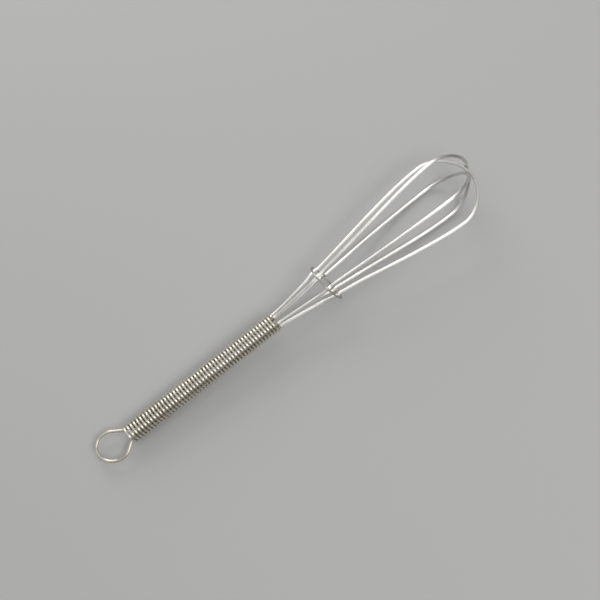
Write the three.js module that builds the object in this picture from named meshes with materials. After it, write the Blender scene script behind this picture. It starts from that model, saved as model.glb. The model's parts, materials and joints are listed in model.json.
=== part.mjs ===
// Mini whisk of stainless wire, lying as it rests on a table. Millimetres, +Z up.
// Three wire loops make the balloon, a coil spring grips their legs and makes the handle,
// a thin ring goes round the strands at the neck, and a wire loop at the tail hangs the whisk up.
import * as THREE from 'three';

// Wire diameters
const balloonWire = 1.4;
const coilWire = 0.95;
const ringWire = 0.65;

// Gap left where one wire bears on another
const contactGap = 0.3;

// Handle coil, a right-handed helix wound a little more open at its tail
const coilOuter = 9.4;
const coilLength = 78.5;
const coilTurns = 49;
const tailOpening = 0.07; // pitch gained from neck to tail, as a share of the mean pitch
const tailAngle = 60; // degrees from +Y towards +Z, where the wire is cut at the tail
const coilSteps = 8; // to a turn
const coilSides = 5;

// Balloon loops, measured along the whisk from the neck end of the coil
const levelLeg = 38; // how far the level loop's legs reach into the coil
const tailInset = 2; // the other legs stop this far from the tail end of the coil
const neckRun = 2; // the strands leave the coil this far before they bend outwards
const neckBend = 1.4; // length of that bend, either side of its corner
const balloonRadius = 16; // axis to the middle of the wire at the widest place
const balloonLength = 106.2; // to the apex of the level loop
const tipLength = 15.6; // widest place to apex
const tipFullness = 0.5; // 0.55 would make the tip a half ellipse
const flareReach = 12; // how long the strands hold their slope beyond the ring
const bulgeReach = 15.7; // how long they hold the widest radius before it
const loopSpacing = 58; // degrees from the level loop to each of the others, round the whisk
const levelSway = -0.8; // degrees each loop leans sideways beyond the ring, as bent by hand
const leftSway = 1;
const rightSway = 0.2;
const neckTwist = 4.3; // degrees the legs and the neck are turned round the whisk against the bulge
const wireSides = 12;

// Neck ring, and the notch in each strand that it sits in
const ringOuter = 18.9;
const ringPlace = 26.9; // neck end of the coil to the middle of the ring
const ringPlay = 1.4; // radial room between the ring and the strands
const ringLean = 15.5; // degrees, top towards the handle
const ringTurn = 4; // degrees, right side towards the tip
const ringSides = 8;
const ringSteps = 48;
const notchDepth = 0.5; // rise of the strand on the handle side of the ring
const notchRise = 6; // length of that rise
const notchDrop = 1.6; // length of the step back down to the ring
const seatGap = 0.45; // gap between the ring and the seats it hangs on, so that the steps clear it too

// Hanging loop, measured from the tail end of the coil. Its eye is an oval, bent a little to one side by hand.
const hangReach = 8.87; // to the middle of the eye
const hangAside = 0.38; // middle of the eye from the middle of the coil
const hangRadius = 6.86; // mean radius to the middle of the wire
const hangOval = 0.073; // share of it that the long way gains and the short way loses
const hangLean = 144; // degrees from +X towards +Y, the long way of the oval
const hangFirst = 63; // degrees, where the oval runs into the straight to the left leg
const hangLast = 311; // and to the right leg
const hangNeck = 1.1; // the legs leave the coil this far before they bend outwards
const hangBend = 0.9; // length of that bend, either side of its corner

// Wire steps
const bendSteps = 3;
const flareSteps = 10;
const tipSteps = 8;
const hangBendSteps = 3;
const hangSteps = 24;

// What fits what
const coilRadius = (coilOuter - coilWire) / 2;
const coilCorner = (2 * coilRadius) / (1 + Math.cos(Math.PI / coilSteps));
const coilBore = coilCorner * Math.cos(Math.PI / coilSteps) - coilWire / 2;
const legRadius = coilBore - contactGap - balloonWire / 2;
const ringRadius = (ringOuter - ringWire) / 2;
const ringInner = ringRadius - ringWire / 2;
const strandAtRing = ringInner - ringPlay - balloonWire / 2;
const strandSlope = (strandAtRing - legRadius) / (ringPlace - neckRun);
const loopStack = balloonWire + contactGap; // from one apex to the next along the whisk

const radians = THREE.MathUtils.degToRad;
const leanTangent = Math.tan(radians(ringLean));
const turnTangent = Math.tan(radians(ringTurn));

const steel = new THREE.MeshStandardMaterial({ color: 0xc3c2bb, roughness: 0.3, metalness: 1 });
const coilSteel = new THREE.MeshStandardMaterial({ color: 0xbdb9ae, roughness: 0.28, metalness: 1 });

// A path that goes through its stations, square to the mean of the two runs that meet at each.
class WirePath extends THREE.Curve {
  constructor(stations) {
    super();
    this.stations = stations;
    this.steps = stations.length - 1;
  }

  getPointAt(u) {
    return this.stations[Math.round(u * this.steps)].clone();
  }

  getTangentAt(u) {
    const here = Math.round(u * this.steps);
    const tangent = new THREE.Vector3();
    for (const start of [here - 1, here]) {
      if (start < 0 || start >= this.steps) continue;
      const run = this.stations[start + 1].clone().sub(this.stations[start]);
      tangent.add(run.normalize());
    }
    return tangent.normalize();
  }
}

function section(sides, cornerRadius) {
  const corners = [];
  for (let i = 0; i < sides; i += 1) {
    const angle = (2 * Math.PI * (i + 0.5)) / sides;
    corners.push(new THREE.Vector2(cornerRadius * Math.cos(angle), cornerRadius * Math.sin(angle)));
  }
  return new THREE.Shape(corners);
}

function wireMesh(name, stations, shape, material) {
  const extrudePath = new WirePath(stations);
  const geometry = new THREE.ExtrudeGeometry(shape, { steps: extrudePath.steps, extrudePath });
  const mesh = new THREE.Mesh(geometry, material);
  mesh.name = name;
  return mesh;
}

// The balloon and the hanging loop are drawn from the same wire, measured across its flats.
const balloonSection = section(wireSides, balloonWire / 2 / Math.cos(Math.PI / wireSides));

// Handle coil
function coilPoint(turn) {
  const pitch = coilLength / coilTurns;
  const gained = (tailOpening * (turn - (turn * turn) / coilTurns)) / 2;
  const angle = radians(tailAngle) + 2 * Math.PI * turn;
  const along = pitch * (turn + gained) - coilLength;
  return new THREE.Vector3(along, coilCorner * Math.cos(angle), coilCorner * Math.sin(angle));
}

function coilStations() {
  const stations = [];
  const count = Math.round(coilTurns * coilSteps);
  for (let i = 0; i <= count; i += 1) stations.push(coilPoint(i / coilSteps));
  // each end runs on straight for one wire diameter
  const tail = stations[0].clone().sub(stations[1]).setLength(coilWire).add(stations[0]);
  const neck = stations[count].clone().sub(stations[count - 1]).setLength(coilWire).add(stations[count]);
  return [tail, ...stations, neck];
}

// Least gap between one turn's wire and the next, on points spaced evenly along each run
function leastCoilGap(stations) {
  const pointsToRun = 4;
  const points = [];
  for (let i = 0; i + 1 < stations.length; i += 1) {
    for (let j = 0; j < pointsToRun; j += 1) {
      points.push(stations[i].clone().lerp(stations[i + 1], j / pointsToRun));
    }
  }
  const halfTurn = (coilSteps * pointsToRun) / 2;
  const reach = 4 * halfTurn;
  let least = Infinity;
  for (let i = 0; i < points.length; i += 1) {
    for (let j = i + halfTurn; j < Math.min(i + reach, points.length); j += 1) {
      least = Math.min(least, points[i].distanceTo(points[j]));
    }
  }
  return least - coilWire;
}

// Balloon loops. A strand is drawn in the plane of its loop, as points along the whisk and out from it.
function strandRadius(along) {
  return legRadius + strandSlope * (along - neckRun);
}

// Where the plane of the leaning ring crosses a strand at this angle round the whisk
function ringCrossing(angle) {
  const set = leanTangent * Math.sin(angle) + turnTangent * Math.cos(angle);
  return ringPlace - (set * strandAtRing) / (1 + set * strandSlope);
}

function neckPoints() {
  const corner = new THREE.Vector2(neckRun, legRadius);
  const start = new THREE.Vector2(neckRun - neckBend, legRadius);
  const end = new THREE.Vector2(neckRun + neckBend, strandRadius(neckRun + neckBend));
  return new THREE.QuadraticBezierCurve(start, corner, end).getPoints(bendSteps);
}

// The strand rises a little on the handle side of the ring, then steps down into its seat.
function notchPoints(angle) {
  const seat = ringCrossing(angle) + ringWire / 2;
  const crest = seat - notchDrop;
  // place along the whisk, and share of the notch's depth there
  const shape = [
    [crest - notchRise, 0],
    [crest - notchRise / 3, 0.7],
    [crest, 1],
    [crest + notchDrop / 3, 0.75],
    [seat - notchDrop / 3, 0.25],
    [seat, 0],
  ];
  return shape.map(([along, share]) => new THREE.Vector2(along, strandRadius(along) + share * notchDepth));
}

function balloonPoints(apex) {
  const flareStart = ringPlace + notchRise;
  const widest = apex - tipLength;
  const flare = new THREE.CubicBezierCurve(
    new THREE.Vector2(flareStart, strandRadius(flareStart)),
    new THREE.Vector2(flareStart + flareReach, strandRadius(flareStart + flareReach)),
    new THREE.Vector2(widest - bulgeReach, balloonRadius),
    new THREE.Vector2(widest, balloonRadius),
  );
  const tip = new THREE.CubicBezierCurve(
    new THREE.Vector2(widest, balloonRadius),
    new THREE.Vector2(widest + tipFullness * tipLength, balloonRadius),
    new THREE.Vector2(apex, tipFullness * balloonRadius),
    new THREE.Vector2(apex, 0),
  );
  return [...flare.getPoints(flareSteps), ...tip.getPoints(tipSteps).slice(1)];
}

function loopStations(angle, legEnd, apex, sway) {
  const swayTangent = Math.tan(radians(sway));
  const strand = (strandAngle) => {
    const neckAngle = strandAngle + radians(neckTwist);
    const legStart = new THREE.Vector2(legEnd, legRadius);
    const outline = [legStart, ...neckPoints(), ...notchPoints(neckAngle), ...balloonPoints(apex)];
    return outline.map(({ x, y }) => {
      const untwisted = THREE.MathUtils.smoothstep(x, ringPlace, apex - tipLength);
      const round = THREE.MathUtils.lerp(neckAngle, strandAngle, untwisted);
      const aside = swayTangent * Math.max(x - ringPlace, 0);
      return new THREE.Vector3(x, y * Math.cos(round) + aside, y * Math.sin(round));
    });
  };
  const out = strand(radians(angle));
  const back = strand(radians(angle + 180)).reverse().slice(1);
  return [...out, ...back];
}

// Neck ring. It hangs on the two upper strands, so it sits a little below the middle of the whisk.
function ringDrop(angle) {
  const along = ringCrossing(angle);
  const aside = strandRadius(along) * Math.cos(angle);
  const up = strandRadius(along) * Math.sin(angle);
  const reach = ringInner - seatGap - balloonWire / 2;
  // the drop at which the ring's centre, sliding down its own plane, is this reach from the strand
  const square = 1 + leanTangent ** 2;
  const half = up - leanTangent * (along - ringPlace);
  const rest = (along - ringPlace) ** 2 + aside ** 2 + up ** 2 - reach ** 2;
  return (Math.sqrt(half ** 2 - square * rest) - half) / square;
}

function ringMesh() {
  const upperStrands = [loopSpacing + neckTwist, 180 - loopSpacing + neckTwist];
  const drop = Math.min(...upperStrands.map((angle) => ringDrop(radians(angle))));
  const geometry = new THREE.TorusGeometry(ringRadius, ringWire / 2, ringSides, ringSteps);
  const mesh = new THREE.Mesh(geometry, steel);
  mesh.name = 'neck_ring';
  const facing = new THREE.Vector3(1, turnTangent, leanTangent).normalize();
  mesh.quaternion.setFromUnitVectors(new THREE.Vector3(0, 0, 1), facing);
  mesh.position.set(ringPlace + drop * leanTangent, 0, -drop);
  return mesh;
}

// Hanging loop: two legs in the coil, a bend outwards on each, and an oval eye that they run straight into
function eyePoint(angle) {
  const radius = hangRadius * (1 + hangOval * Math.cos(2 * (angle - radians(hangLean))));
  const along = -coilLength - hangReach + radius * Math.cos(angle);
  return new THREE.Vector3(along, hangAside + radius * Math.sin(angle), 0);
}

function hangLegPoints(side, eyeEnd) {
  const legEnd = new THREE.Vector3(-levelLeg - contactGap, side * legRadius, 0);
  const corner = new THREE.Vector3(-coilLength - hangNeck, side * legRadius, 0);
  const start = corner.clone().setX(corner.x + hangBend);
  const end = eyeEnd.clone().sub(corner).setLength(hangBend).add(corner);
  return [legEnd, ...new THREE.QuadraticBezierCurve3(start, corner, end).getPoints(hangBendSteps)];
}

function hangStations() {
  const eye = [];
  for (let i = 0; i <= hangSteps; i += 1) {
    eye.push(eyePoint(radians(hangFirst + ((hangLast - hangFirst) * i) / hangSteps)));
  }
  return [...hangLegPoints(1, eye[0]), ...eye, ...hangLegPoints(-1, eye[hangSteps]).reverse()];
}

// The whisk lies on the tail of its coil and on the lower strands: the slope at which both are level
function lowestPoint(meshes, slope) {
  let lowest = Infinity;
  const vertex = new THREE.Vector3();
  for (const mesh of meshes) {
    const position = mesh.geometry.getAttribute('position');
    for (let i = 0; i < position.count; i += 1) {
      vertex.fromBufferAttribute(position, i);
      lowest = Math.min(lowest, vertex.x * Math.sin(slope) + vertex.z * Math.cos(slope));
    }
  }
  return lowest;
}

function restingSlope(coil, loops) {
  const halvings = 40;
  let low = 0;
  let high = Math.PI / 4;
  for (let i = 0; i < halvings; i += 1) {
    const middle = (low + high) / 2;
    if (lowestPoint(loops, middle) < lowestPoint([coil], middle)) low = middle;
    else high = middle;
  }
  return (low + high) / 2;
}

const coilPath = coilStations();
console.log(`handle_coil: least gap to itself ${leastCoilGap(coilPath).toFixed(2)} mm`);

const handleCoil = wireMesh('handle_coil', coilPath, section(coilSides, coilWire / 2), coilSteel);
const longLegEnd = tailInset - coilLength;
// name, angle of the first strand round the whisk from +Y towards +Z, leg end, place of the apex, sway
const loops = [
  ['balloon_wire_level', 0, -levelLeg, balloonLength, levelSway],
  ['balloon_wire_left', 180 + loopSpacing, longLegEnd, balloonLength + loopStack, leftSway],
  ['balloon_wire_right', -loopSpacing, longLegEnd, balloonLength - loopStack, rightSway],
].map(([name, ...layout]) => wireMesh(name, loopStations(...layout), balloonSection, steel));
const hangLoop = wireMesh('hang_loop', hangStations(), balloonSection, steel);

const whisk = new THREE.Group();
whisk.add(handleCoil, ...loops, ringMesh(), hangLoop);
whisk.rotation.y = -restingSlope(handleCoil, loops);

// The origin is under the middle of the whisk, on the table.
const box = new THREE.Box3().setFromObject(whisk, true);
const middle = box.getCenter(new THREE.Vector3());
whisk.position.set(-middle.x, -middle.y, -box.min.z);

const part = new THREE.Group();
part.add(whisk);
export default part;
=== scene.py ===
import json
import math

import bpy
from mathutils import Matrix, Vector


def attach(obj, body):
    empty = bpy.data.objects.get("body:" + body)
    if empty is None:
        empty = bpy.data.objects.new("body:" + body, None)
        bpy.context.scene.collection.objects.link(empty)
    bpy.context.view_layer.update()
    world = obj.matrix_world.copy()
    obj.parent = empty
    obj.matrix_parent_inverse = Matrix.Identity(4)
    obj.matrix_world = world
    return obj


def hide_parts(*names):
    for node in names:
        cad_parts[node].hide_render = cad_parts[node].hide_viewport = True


# A mini whisk of stainless wire on a pale floor. Sizes are in millimetres unless a note says otherwise.
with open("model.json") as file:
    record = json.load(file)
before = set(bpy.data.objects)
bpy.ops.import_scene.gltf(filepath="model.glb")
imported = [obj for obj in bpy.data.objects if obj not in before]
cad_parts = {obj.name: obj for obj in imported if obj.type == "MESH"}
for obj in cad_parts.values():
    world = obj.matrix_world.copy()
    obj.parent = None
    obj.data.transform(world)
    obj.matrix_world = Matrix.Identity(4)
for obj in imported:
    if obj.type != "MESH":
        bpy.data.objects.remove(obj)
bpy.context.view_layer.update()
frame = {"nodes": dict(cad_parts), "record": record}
mm = 0.001
print("frame loaded:", ", ".join(sorted(frame["nodes"])))


def deselectAll():
    if bpy.context.object and bpy.context.object.mode != "OBJECT":
        bpy.ops.object.mode_set(mode="OBJECT")
    bpy.ops.object.select_all(action="DESELECT")


def makeActive(piece):
    deselectAll()
    piece.select_set(True)
    bpy.context.view_layer.objects.active = piece


def smoothStep(value, start, end):
    share = min(max((value - start) / (end - start), 0), 1)
    return share * share * (3 - 2 * share)


# camera, at the viewing angle and distance that the picture was taken from
camera = {
    "place": (-23.25, -91.09, 375.98),
    "aim": (8.27, 4.22, 0),
    "roll": -19.25,  # degrees
    "lens": 52.8,
    "sensor": 36,
    "clipStart": 10,
}


def placeCamera():
    place = Vector(camera["place"]) * mm
    sight = Vector(camera["aim"]) * mm - place
    roll = Matrix.Rotation(math.radians(camera["roll"]), 3, "Z")
    turn = sight.to_track_quat("-Z", "Y").to_matrix() @ roll
    bpy.ops.object.camera_add(location=place, rotation=turn.to_euler())
    lensed = bpy.context.object
    lensed.data.lens = camera["lens"]
    lensed.data.sensor_width = camera["sensor"]
    lensed.data.clip_start = camera["clipStart"] * mm
    bpy.context.scene.camera = lensed


deselectAll()
placeCamera()
print("camera placed")


# the whisk is drawn straight along +X from the neck end of the coil, then laid down at the slope of its eye
whisk = {
    "balloonWire": 1.4,
    "coilWire": 0.95,
    "ringWire": 0.65,
    "coilOuter": 9.22,
    "coilLength": 78.5,
    "grip": 0.01,  # gap between the coil and the legs in it
    "levelLeg": 38,  # how far the level loop's legs reach into the coil
    "ringPlace": 27.4,  # neck end of the coil to the middle of the ring
    "ringLean": 13.7,  # degrees, top towards the handle
    "ringTurn": 4,  # degrees, right side towards the tip
    "strandAtRing": 6.68,  # axis to the middle of a strand
    "eyeReach": 8.87,  # tail end of the coil to the middle of the eye
    "eyeAside": 0.38,  # axis to the middle of the eye
}
legRadius = whisk["coilOuter"] / 2 - whisk["coilWire"] - whisk["grip"] - whisk["balloonWire"] / 2
leanTangent = math.tan(math.radians(whisk["ringLean"]))
turnTangent = math.tan(math.radians(whisk["ringTurn"]))
eyeAlong = -whisk["coilLength"] - whisk["eyeReach"]
eyeMount = next(mount for mount in frame["record"]["mounts"] if mount["name"] == "hang_eye")
lie = math.atan2(-eyeMount["axis"][0], eyeMount["axis"][2])
fromNeck = Vector((math.cos(lie) * eyeAlong, whisk["eyeAside"], math.sin(lie) * eyeAlong))
neckEnd = Vector(eyeMount["pos_m"]) - fromNeck * mm


def layDown(piece):
    makeActive(piece)
    piece.rotation_euler = (0, -lie, 0)
    piece.location = neckEnd
    bpy.ops.object.transform_apply(location=True, rotation=True, scale=True)


# u runs along the wire and v round it, both in millimetres, so that a pattern follows the drawn wire
def wrapUv(piece, sides, reach, diameter):
    layer = piece.data.uv_layers.active or piece.data.uv_layers.new()
    layer.name = "wire"
    for face in piece.data.polygons:
        places = {}
        for loop in face.loop_indices:
            corner = piece.data.loops[loop].vertex_index
            places[loop] = (corner // sides, corner % sides)
        onSeam = {0, sides - 1} <= {spot for row, spot in places.values()}
        for loop, (row, spot) in places.items():
            spot = sides if onSeam and spot == 0 else spot
            layer.data[loop].uv = (reach[row], math.pi * diameter * spot / sides)


wireCut = {"bevel": 0.15, "segments": 2}  # round the edge of a cut end
sharpEdge = math.radians(40)  # an edge that turns more than this stays sharp


# closes the end of a wire at this rim of points, after running on straight where a run is given
def cutEnd(piece, rim, run=None):
    makeActive(piece)
    bpy.ops.object.mode_set(mode="EDIT")
    bpy.ops.mesh.select_mode(type="VERT")
    bpy.ops.mesh.select_all(action="DESELECT")
    bpy.ops.object.mode_set(mode="OBJECT")
    for number in rim:
        piece.data.vertices[number].select = True
    bpy.ops.object.mode_set(mode="EDIT")
    if run:
        bpy.ops.mesh.extrude_region_move(TRANSFORM_OT_translate={"value": run})
    bpy.ops.mesh.edge_face_add()
    bpy.ops.mesh.bevel(offset=wireCut["bevel"] * mm, segments=wireCut["segments"])
    bpy.ops.mesh.select_all(action="SELECT")
    bpy.ops.mesh.normals_make_consistent(inside=False)
    bpy.ops.object.mode_set(mode="OBJECT")


# a wire is a path with a round bevel, made a mesh and cut square at both ends
def drawWire(name, stations, diameter, sides):
    deselectAll()
    bpy.ops.curve.primitive_nurbs_path_add(location=(0, 0, 0))
    wire = bpy.context.object
    wire.name = name
    wire.data.splines.clear()
    path = wire.data.splines.new("POLY")
    path.points.add(len(stations) - 1)
    for point, station in zip(path.points, stations):
        point.co = (*(Vector(station) * mm), 1)
    wire.data.dimensions = "3D"
    wire.data.bevel_depth = diameter / 2 * mm
    wire.data.bevel_resolution = sides // 2 - 2  # a bevel has four sides and two more for each step
    bpy.ops.object.convert(target="MESH")
    piece = bpy.context.object
    reach = [0]
    for start, end in zip(stations, stations[1:]):
        reach.append(reach[-1] + (Vector(end) - Vector(start)).length)
    wrapUv(piece, sides, reach, diameter)
    count = len(piece.data.vertices)
    cutEnd(piece, range(count - sides, count))
    cutEnd(piece, range(sides))
    bpy.ops.object.shade_smooth_by_angle(angle=sharpEdge)
    return piece


# handle coil: a section circle screwed round the handle's axis, opened up a little towards the tail
coil = {
    "turns": 49,
    "tailOpening": 0.07,  # pitch gained from neck to tail, as a share of the mean pitch
    "tailAngle": 60,  # degrees from +Y towards +Z, where the wire is cut at the tail
    "steps": 48,  # to a turn
    "sides": 16,
}


def windCoil():
    pitch = whisk["coilLength"] / coil["turns"]
    radius = (whisk["coilOuter"] - whisk["coilWire"]) / 2
    tailTurn = math.radians(coil["tailAngle"])
    deselectAll()
    bpy.ops.mesh.primitive_circle_add(
        vertices=coil["sides"],
        radius=whisk["coilWire"] / 2 * mm,
        location=(-whisk["coilLength"] * mm, radius * mm, 0),
    )
    piece = bpy.context.object
    piece.name = "handleCoil"
    bpy.ops.object.transform_apply(location=True, rotation=True, scale=True)
    piece.rotation_euler = (tailTurn, 0, 0)
    bpy.ops.object.transform_apply(location=False, rotation=True, scale=False)
    screw = piece.modifiers.new("winding", "SCREW")
    screw.axis = "X"
    screw.angle = 2 * math.pi
    screw.screw_offset = pitch * mm
    screw.iterations = coil["turns"]
    screw.steps = coil["steps"]
    screw.render_steps = coil["steps"]
    bpy.ops.object.modifier_apply(modifier=screw.name)

    stepLength = math.hypot(2 * math.pi * radius, pitch) / coil["steps"]
    reach = [stepLength * step for step in range(coil["turns"] * coil["steps"] + 1)]
    wrapUv(piece, coil["sides"], reach, whisk["coilWire"])
    # the pitch falls evenly from the tail to the neck, and both ends stay where they are
    for number, vertex in enumerate(piece.data.vertices):
        turn = number // coil["sides"] / coil["steps"]
        vertex.co.x += pitch * coil["tailOpening"] * (turn - turn * turn / coil["turns"]) / 2 * mm

    # each end runs on straight for one wire diameter
    run = Vector((0, -math.sin(tailTurn), math.cos(tailTurn))) * whisk["coilWire"] * mm
    count = len(piece.data.vertices)
    cutEnd(piece, range(count - coil["sides"], count), run)
    cutEnd(piece, range(coil["sides"]), -run)
    bpy.ops.object.shade_smooth_by_angle(angle=sharpEdge)
    return piece


handleCoil = windCoil()
layDown(handleCoil)
print("handle coil:", len(handleCoil.data.polygons), "faces")


# balloon loops: each strand is drawn in the plane of its loop, then turned to its place round the whisk
balloon = {
    "tailInset": 2,  # the long legs stop this far from the tail end of the coil
    "neckRun": 2,  # the strands leave the coil this far before they bend outwards
    "neckBend": 1.4,  # length of that bend, either side of its corner
    "flareStart": 6,  # from the ring
    "flareReach": 12,  # how long the strands hold their slope from there
    "bulgeReach": 15.7,  # how long they hold the widest radius before they come to it
    "radius": 15.97,  # axis to the middle of the wire at the widest place
    "tipLength": 15.6,  # widest place to apex
    "tipFullness": 0.5,  # 0.55 would make the tip a half ellipse
    "loopSpacing": 58,  # degrees from the level loop to each of the others, round the whisk
    "ringTwist": 4.3,  # degrees the strands are turned at the ring against the bulge
    "legTwist": 7,  # degrees more at the neck
    "legTwistFades": (-7, 3),  # from the ring
    "meetReach": 4,  # how near the axis a strand's tip is drawn in to meet the other's
    "tuckMiddle": -0.3,  # from the axis, along the tip that is tucked under
    "tuckReach": 2.2,  # to either side of that
    "sideStrand": 30,  # degrees from level, within which a strand is at the side of the whisk
    "sides": 20,
    "bendSteps": 6,
    "curveSteps": 40,
    "straightStep": 0.25,
    "afterBend": 0.4,  # gap from the bend to the first point of the straight
    "beforeFlare": 0.2,  # least gap from its last point to the flare
}
# the crook by which a strand holds the ring: places along it from the ring, and how far out they are,
# or how far to the right of the whisk on the hooked strand
crooks = {
    "upper": ((-7, 0), (-1.4, 0.17), (0.1, 0.3), (1.6, -0.06), (6, 0)),
    "lower": ((-7, 0), (-1.4, 0.42), (0.1, 0.75), (1.6, -0.15), (6, 0)),
    "hooked": ((-8, 0), (-1.2, 0.6), (1.2, -0.12), (6, 0)),
    "left": ((-27, 0), (-18, -0.3), (-7, -0.3), (0.1, 0.35), (1.7, -0.1), (7, 0)),
    "right": ((-7, 0), (-1.4, 0.42), (0.1, 0.7), (1.6, 0.3), (16, 0)),
}
strandSlope = (whisk["strandAtRing"] - legRadius) / (whisk["ringPlace"] - balloon["neckRun"])


def bezier(start, startPull, endPull, end, steps):
    points = []
    for step in range(steps + 1):
        t = step / steps
        weights = ((1 - t) ** 3, 3 * t * (1 - t) ** 2, 3 * t * t * (1 - t), t ** 3)
        point = Vector((0, 0))
        for weight, corner in zip(weights, (start, startPull, endPull, end)):
            point += weight * Vector(corner)
        points.append(point)
    return points


# a bend in a wire, from one straight to another about the corner where they would meet
def bendAbout(corner, start, end, steps):
    pull = 2 / 3  # makes the bend a parabola
    return bezier(start, start.lerp(corner, pull), end.lerp(corner, pull), end, steps)


def strandRadius(along):
    return legRadius + strandSlope * (along - balloon["neckRun"])


# where the plane of the leaning ring crosses a strand at this angle round the whisk
def ringCrossing(angle):
    tilt = leanTangent * math.sin(angle) + turnTangent * math.cos(angle)
    return whisk["ringPlace"] - tilt * whisk["strandAtRing"] / (1 + tilt * strandSlope)


def crookKind(angle):
    side = math.sin(math.radians(balloon["sideStrand"]))
    if math.sin(angle) > side:
        return "upper"
    if math.sin(angle) < -side:
        return "lower" if math.cos(angle) > 0 else "hooked"
    return "left" if math.cos(angle) > 0 else "right"


def crookRise(past, crook):
    rise = 0
    for (start, low), (end, high) in zip(crook, crook[1:]):
        rise += (high - low) * smoothStep(past, start, end)
    return rise


# a strand in the plane of its loop, as points along the whisk and out from its axis
def strandOutline(legEnd, apex):
    neckCorner = Vector((balloon["neckRun"], legRadius))
    bendStart = balloon["neckRun"] - balloon["neckBend"]
    bendEnd = balloon["neckRun"] + balloon["neckBend"]
    flareStart = whisk["ringPlace"] + balloon["flareStart"]
    flarePull = flareStart + balloon["flareReach"]
    widest, radius = apex - balloon["tipLength"], balloon["radius"]
    fullness, steps = balloon["tipFullness"], balloon["curveSteps"]
    outline = [Vector((legEnd, legRadius))]
    outline += bendAbout(neckCorner, Vector((bendStart, legRadius)),
                         Vector((bendEnd, strandRadius(bendEnd))), balloon["bendSteps"])
    along = bendEnd + balloon["afterBend"]
    while along < flareStart - balloon["beforeFlare"]:
        outline.append(Vector((along, strandRadius(along))))
        along += balloon["straightStep"]
    outline += bezier((flareStart, strandRadius(flareStart)), (flarePull, strandRadius(flarePull)),
                      (widest - balloon["bulgeReach"], radius), (widest, radius), steps)
    outline += bezier((widest, radius), (widest + fullness * balloon["tipLength"], radius),
                      (apex, fullness * radius), (apex, 0), steps)[1:]
    return outline


# one of the two strands of a loop, with its crook at the ring, its twist and its lean sideways;
# its tip is drawn in to meet the other strand's, and pushed aside where the loop is tucked under
def strandStations(loop, strand):
    angle = math.radians(loop["angle"] + 180 * strand)
    apex = loop["apexes"][strand]
    widest = apex - balloon["tipLength"]
    ringTwist, legTwist = math.radians(balloon["ringTwist"]), math.radians(balloon["legTwist"])
    fadeStart, fadeEnd = balloon["legTwistFades"]
    seat = ringCrossing(angle + ringTwist)
    kind = crookKind(angle + ringTwist)
    stations = []
    for along, out in strandOutline(loop["legEnd"], apex):
        pastRing = along - whisk["ringPlace"]
        aside = math.tan(math.radians(loop["sway"])) * max(pastRing, 0)
        rise = crookRise(along - seat, crooks[kind])
        if kind == "hooked":
            aside -= rise
        else:
            out += rise
        twist = ringTwist * (1 - smoothStep(along, whisk["ringPlace"], widest))
        twist += legTwist * (1 - smoothStep(pastRing, fadeStart, fadeEnd))
        place = Vector((along, out * math.cos(angle + twist) + aside, out * math.sin(angle + twist)))
        if along > widest:
            place.x += (loop["meet"] - apex) * math.exp(-((out / balloon["meetReach"]) ** 2))
            acrossTip = math.copysign(out, math.sin(angle)) - balloon["tuckMiddle"]
            pushed = loop["tuck"] * math.exp(-((acrossTip / balloon["tuckReach"]) ** 2))
            place += Vector((0, abs(math.sin(angle)), -abs(math.cos(angle)))) * pushed
        stations.append(place)
    return stations


# angle is the first strand's, in degrees from +Y towards +Z, and sway is the loop's lean sideways in degrees;
# the strands are shaped for their apexes, then drawn in to meet; tuck is how far the tip is pushed aside
longLegEnd = balloon["tailInset"] - whisk["coilLength"]
loops = (
    {
        "piece": "balloonWireLevel",
        "node": "balloon_wire_level",
        "angle": 0,
        "legEnd": -whisk["levelLeg"],
        "apexes": (106, 106),
        "meet": 106,
        "sway": -0.8,
        "tuck": 0,
    },
    {
        "piece": "balloonWireLeft",
        "node": "balloon_wire_left",
        "angle": 180 + balloon["loopSpacing"],
        "legEnd": longLegEnd,
        "apexes": (106.4, 107.8),
        "meet": 106.92,
        "sway": 1,
        "tuck": 1.6,
    },
    {
        "piece": "balloonWireRight",
        "node": "balloon_wire_right",
        "angle": -balloon["loopSpacing"],
        "legEnd": longLegEnd,
        "apexes": (104.48, 104.48),
        "meet": 104.48,
        "sway": 0.2,
        "tuck": 0,
    },
)
balloonWires = {}
for loop in loops:
    stations = strandStations(loop, 0) + strandStations(loop, 1)[-2::-1]
    balloonWire = drawWire(loop["piece"], stations, whisk["balloonWire"], balloon["sides"])
    layDown(balloonWire)
    balloonWires[loop["node"]] = balloonWire
print("balloon loops:", sum(len(piece.data.polygons) for piece in balloonWires.values()), "faces")


# neck ring: a section circle spun into a ring, with the small bead where its ends are welded
ring = {
    "outer": 18.9,
    "steps": 120,
    "sides": 14,
    "drop": 1.2,  # it hangs on the two upper strands, so its middle is below the whisk's
    "bead": 0.12,  # swelling of the weld, as a share of the wire
    "beadLength": 0.8,
    "beadAngle": 250,  # degrees round the ring from +Y towards +Z
    "mergeWithin": 0.001,
}


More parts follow.
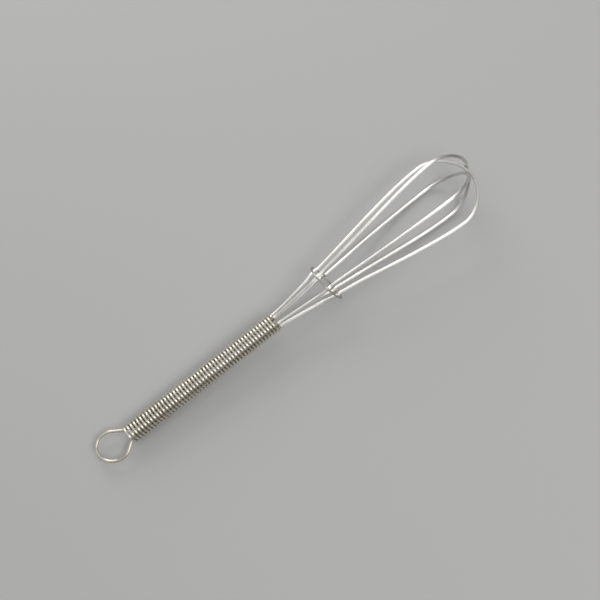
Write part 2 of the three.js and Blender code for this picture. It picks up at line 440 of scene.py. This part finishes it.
def bendRing():
    radius = (ring["outer"] - whisk["ringWire"]) / 2
    deselectAll()
    bpy.ops.mesh.primitive_circle_add(
        vertices=ring["sides"], radius=whisk["ringWire"] / 2 * mm, location=(0, radius * mm, 0)
    )
    piece = bpy.context.object
    piece.name = "neckRing"
    bpy.ops.object.transform_apply(location=True, rotation=True, scale=True)
    spin = piece.modifiers.new("bending", "SCREW")
    spin.axis = "X"
    spin.angle = 2 * math.pi
    spin.steps = ring["steps"]
    spin.render_steps = ring["steps"]
    bpy.ops.object.modifier_apply(modifier=spin.name)
    reach = [2 * math.pi * radius * step / ring["steps"] for step in range(ring["steps"] + 1)]
    wrapUv(piece, ring["sides"], reach, whisk["ringWire"])
    for vertex in piece.data.vertices:
        angle = math.atan2(vertex.co.z, vertex.co.y)
        middle = Vector((0, math.cos(angle), math.sin(angle))) * radius * mm
        away = math.remainder(angle - math.radians(ring["beadAngle"]), 2 * math.pi) * radius
        swell = 1 + ring["bead"] * math.exp(-((away / ring["beadLength"]) ** 2))
        vertex.co = middle + (vertex.co - middle) * swell
    bpy.ops.object.mode_set(mode="EDIT")
    bpy.ops.mesh.select_all(action="SELECT")
    bpy.ops.mesh.remove_doubles(threshold=ring["mergeWithin"] * mm)
    bpy.ops.mesh.normals_make_consistent(inside=False)
    bpy.ops.object.mode_set(mode="OBJECT")
    bpy.ops.object.shade_smooth()
    facing = Vector((1, turnTangent, leanTangent))
    piece.rotation_euler = Vector((1, 0, 0)).rotation_difference(facing).to_euler()
    piece.location = Vector((whisk["ringPlace"] + ring["drop"] * leanTangent, 0, -ring["drop"])) * mm
    bpy.ops.object.transform_apply(location=True, rotation=True, scale=True)
    return piece


neckRing = bendRing()
layDown(neckRing)
print("neck ring:", len(neckRing.data.polygons), "faces")


# hanging loop: two legs in the coil, a bend outwards on each, and an oval eye that they run straight into
hang = {
    "radius": 6.85,  # mean radius of the eye
    "oval": 0.073,  # share of it that the long way gains and the short way loses
    "lean": 144,  # degrees from +X towards +Y, the long way of the oval
    "first": 63,  # degrees, where the oval runs into the straight to the left leg
    "last": 311,  # and to the right leg
    "neck": 1.1,  # the legs leave the coil this far before they bend outwards
    "bend": 0.9,  # length of that bend, either side of its corner
    "legGap": 0.3,  # between the ends of its legs and of the level loop's
    "bendSteps": 8,
    "steps": 72,
    "sides": 20,
}


def eyePoint(angle):
    radius = hang["radius"] * (1 + hang["oval"] * math.cos(2 * (angle - math.radians(hang["lean"]))))
    return Vector((eyeAlong + radius * math.cos(angle), whisk["eyeAside"] + radius * math.sin(angle)))


# side is 1 for the left leg and -1 for the right
def hangLeg(side, eyeEnd):
    corner = Vector((-whisk["coilLength"] - hang["neck"], side * legRadius))
    start = corner + Vector((hang["bend"], 0))
    end = corner + (eyeEnd - corner).normalized() * hang["bend"]
    legEnd = Vector((-whisk["levelLeg"] - hang["legGap"], side * legRadius))
    return [legEnd] + bendAbout(corner, start, end, hang["bendSteps"])


def hangStations():
    eye = []
    for step in range(hang["steps"] + 1):
        angle = hang["first"] + (hang["last"] - hang["first"]) * step / hang["steps"]
        eye.append(eyePoint(math.radians(angle)))
    outline = hangLeg(1, eye[0]) + eye + hangLeg(-1, eye[-1])[::-1]
    return [(along, aside, 0) for along, aside in outline]


hangLoop = drawWire("hangLoop", hangStations(), whisk["balloonWire"], hang["sides"])
layDown(hangLoop)
print("hanging loop:", len(hangLoop.data.polygons), "faces")


# materials
def hexColour(code):
    channels = [int(code[place:place + 2], 16) / 255 for place in (1, 3, 5)]
    linear = [c / 12.92 if c <= 0.04045 else ((c + 0.055) / 1.055) ** 2.4 for c in channels]
    return (*linear, 1)


def addNode(tree, kind, values=None, links=None, **settings):
    node = tree.nodes.new(kind)
    for name, value in settings.items():
        setattr(node, name, value)
    for socket, value in (values or {}).items():
        node.inputs[socket].default_value = value
    for socket, source in (links or {}).items():
        tree.links.new(source, node.inputs[socket])
    return node


# what the drawn wires have in common
drawn = {
    "lineLength": 12,
    "lineWidth": 0.12,  # real die lines are finer; these are as coarse as they need to be to show
    "lineDepth": 0.002,
    "lineStrength": 0.3,
    "lineNoise": (0.3, 0.7),  # values at which the lines are smoothest and roughest
    "patchNoise": (0.38, 0.72),  # values at which the patches are bright and dull
    "acrossWire": 0.25,  # of a turn, so that the light spreads across the lines
}


# Stainless steel wire, drawn through a die: a bright satin whose fine lines run along the wire and spread
# the light across it, with a warm dullness in patches where it has been handled and bent.
# Roughness is at its smoothest and its roughest, and lined is how much the lines spread the light.
def drawnSteel(name, bright, dull, roughness, patch, lined):
    material = bpy.data.materials.new(name)
    material.use_nodes = True
    tree = material.node_tree
    tree.nodes.clear()
    spot = addNode(tree, "ShaderNodeTexCoord")
    stretch = addNode(tree, "ShaderNodeMapping",
                      {"Scale": (1 / drawn["lineLength"], 1 / drawn["lineWidth"], 1)},
                      {"Vector": spot.outputs["UV"]})
    lines = addNode(tree, "ShaderNodeTexNoise", {"Scale": 1, "Detail": 3, "Roughness": 0.6},
                    {"Vector": stretch.outputs["Vector"]})
    patches = addNode(tree, "ShaderNodeTexNoise", {"Scale": 1 / (patch * mm), "Detail": 4, "Roughness": 0.55},
                      {"Vector": spot.outputs["Object"]})
    colour = addNode(tree, "ShaderNodeValToRGB", None, {"Fac": patches.outputs["Fac"]})
    for stop, position, code in zip(colour.color_ramp.elements, drawn["patchNoise"], (bright, dull)):
        stop.position = position
        stop.color = hexColour(code)
    rough = addNode(tree, "ShaderNodeMapRange",
                    {"From Min": drawn["lineNoise"][0], "From Max": drawn["lineNoise"][1],
                     "To Min": roughness[0], "To Max": roughness[1]},
                    {"Value": lines.outputs["Fac"]})
    bump = addNode(tree, "ShaderNodeBump",
                   {"Strength": drawn["lineStrength"], "Distance": drawn["lineDepth"] * mm},
                   {"Height": lines.outputs["Fac"]})
    along = addNode(tree, "ShaderNodeTangent", direction_type="UV_MAP", uv_map="wire")
    shader = addNode(tree, "ShaderNodeBsdfPrincipled",
                     {"Metallic": 1, "Anisotropic": lined, "Anisotropic Rotation": drawn["acrossWire"]},
                     {"Base Color": colour.outputs["Color"], "Roughness": rough.outputs["Result"],
                      "Normal": bump.outputs["Normal"], "Tangent": along.outputs["Tangent"]})
    addNode(tree, "ShaderNodeOutputMaterial", None, {"Surface": shader.outputs["BSDF"]})
    return material


# the balloon's wire is the plain satin, with a long white sheen on each strand
balloonSteel = drawnSteel(
    "drawn stainless balloon wire",
    bright="#ebeae6", dull="#d4d1ca", roughness=(0.42, 0.5), patch=14, lined=0.92,
)
# the coil's wire is brighter and a little warmer, with a sharper spot of light on every turn
coilSteel = drawnSteel(
    "drawn stainless coil wire",
    bright="#f2ede2", dull="#e2dccf", roughness=(0.39, 0.46), patch=9, lined=0.93,
)
# the hanging loop's wire is painted duller, a painted shade for the duller reflections it shows, and a little
# warmer
shadedHangSteel = drawnSteel(
    "drawn stainless hanging wire",
    bright="#dcd7cc", dull="#b9b3a6", roughness=(0.34, 0.42), patch=8, lined=0.9,
)
# the ring's thin wire is a plain grey, so that it stands out from the strands
ringSteel = drawnSteel(
    "drawn stainless ring wire",
    bright="#c4bfb4", dull="#a8a296", roughness=(0.3, 0.38), patch=6, lined=0.6,
)
# in the coil the legs are painted darker, a painted shade for the dark inside of the coil, so that the gaps
# between the turns look dark
shadedLegSteel = drawnSteel(
    "drawn stainless wire, painted shade in the coil",
    bright="#a29c8e", dull="#8a8375", roughness=(0.5, 0.6), patch=5, lined=0.3,
)


def dress(piece, node, material):
    piece.data.materials.clear()
    piece.data.materials.append(material)
    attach(piece, "root")
    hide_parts(node)


shadeInset = 0.5  # how far inside the ends of the coil the legs take the painted shade


# gives the legs' faces inside the coil the darker steel: painted shade where the coil shades them
def shadeLegs(piece):
    piece.data.materials.append(shadedLegSteel)
    way = Vector((math.cos(lie), 0, math.sin(lie)))
    for face in piece.data.polygons:
        along = (face.center - neckEnd).dot(way) / mm
        if shadeInset - whisk["coilLength"] < along < -shadeInset:
            face.material_index = 1


dress(handleCoil, "handle_coil", coilSteel)
for node, piece in balloonWires.items():
    dress(piece, node, balloonSteel)
    shadeLegs(piece)
dress(neckRing, "neck_ring", ringSteel)
dress(hangLoop, "hang_loop", shadedHangSteel)
shadeLegs(hangLoop)
print("pieces dressed")


# floor, lamps and surroundings
floor = {"colour": "#acacaa", "roughness": 0.8, "shine": 0.2, "metres": 20}


def layFloor():
    deselectAll()
    bpy.ops.mesh.primitive_plane_add(size=floor["metres"], location=(0, 0, 0))
    ground = bpy.context.object
    ground.name = "floor"
    material = bpy.data.materials.new("matt pale paper")  # no gloss, so it shows only soft shadows
    material.use_nodes = True
    shader = material.node_tree.nodes["Principled BSDF"]
    shader.inputs["Base Color"].default_value = hexColour(floor["colour"])
    shader.inputs["Roughness"].default_value = floor["roughness"]
    shader.inputs["Specular IOR Level"].default_value = floor["shine"]
    ground.data.materials.append(material)


# the way to each lamp, its distance and two sides in metres, and its radiance
lamps = {
    "farSoftbox": {"way": (0.21, 0.88, 0.46), "distance": 0.9, "sides": (0.54, 0.52), "radiance": 4.2},
    "overheadSoftbox": {"way": (0.21, -0.5, 0.86), "distance": 0.9, "sides": (0.54, 0.3), "radiance": 4.8},
}


def placeLamps():
    for name, softbox in lamps.items():
        way = Vector(softbox["way"]).normalized()
        width, height = softbox["sides"]
        facing = (-way).to_track_quat("-Z", "Y").to_euler()
        bpy.ops.object.light_add(type="AREA", location=way * softbox["distance"], rotation=facing)
        lamp = bpy.context.object
        lamp.name = name
        lamp.data.shape = "RECTANGLE"
        lamp.data.size = width
        lamp.data.size_y = height
        lamp.data.energy = math.pi * width * height * softbox["radiance"]


# the studio is brightest a little to the far side of straight overhead, and dims towards the horizon
studio = {
    "tilt": 8,  # degrees
    "dimBelow": 0.1,  # height, where 1 is straight overhead
    "dim": 0.2,
    "bright": 0.84,
}


def lightStudio():
    world = bpy.data.worlds.new("studio")
    bpy.context.scene.world = world
    world.use_nodes = True
    tree = world.node_tree
    tree.nodes.clear()
    around = addNode(tree, "ShaderNodeTexCoord")
    tilt = addNode(tree, "ShaderNodeMapping", {"Rotation": (math.radians(studio["tilt"]), 0, 0)},
                   {"Vector": around.outputs["Generated"]}, vector_type="POINT")
    height = addNode(tree, "ShaderNodeSeparateXYZ", None, {"Vector": tilt.outputs["Vector"]})
    sky = addNode(tree, "ShaderNodeMapRange",
                  {"From Min": studio["dimBelow"], "From Max": 1,
                   "To Min": studio["dim"], "To Max": studio["bright"]},
                  {"Value": height.outputs["Z"]}, interpolation_type="SMOOTHSTEP")
    glow = addNode(tree, "ShaderNodeBackground", {"Color": (1, 1, 1, 1)},
                   {"Strength": sky.outputs["Result"]})
    addNode(tree, "ShaderNodeOutputWorld", None, {"Surface": glow.outputs["Background"]})


layFloor()
placeLamps()
lightStudio()
bpy.context.scene.view_settings.view_transform = "Standard"
print("floor and light set")
